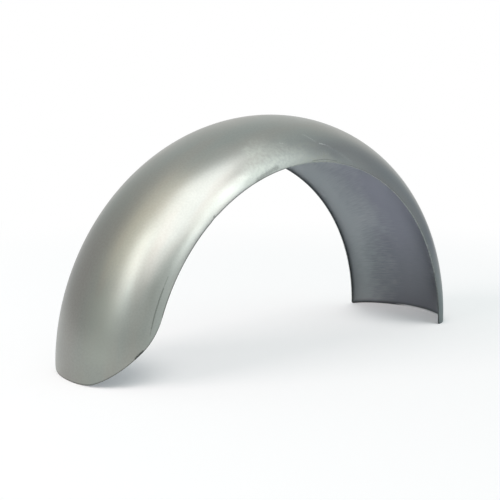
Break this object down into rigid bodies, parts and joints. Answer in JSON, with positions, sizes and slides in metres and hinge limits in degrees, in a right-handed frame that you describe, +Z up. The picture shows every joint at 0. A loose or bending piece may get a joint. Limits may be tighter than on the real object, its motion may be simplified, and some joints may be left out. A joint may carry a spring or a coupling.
{
  "type": "motorcycle rear fender",
  "caption": "Half-ring motorcycle rear fender pressed from raw steel sheet, domed across its width, with a straight-cut front end and a rounded tail.",
  "frame": {"origin": "centre of the footprint, on the surface that the front cut and the tail stand on; the wheel's axle is 2.2 mm below it", "axes": "+X towards the front end, +Y across the wheel along its axle, +Z up through the top of the arch"},
  "size_m": [0.676, 0.2002, 0.3358],
  "materials": {
    "raw_steel": "bare pressed steel, satin, with faint drawing lines, sanding haze and light scratches"
  },
  "bodies": {
    "root": {"fender_shell": "raw_steel"}
  },
  "joints": []
}
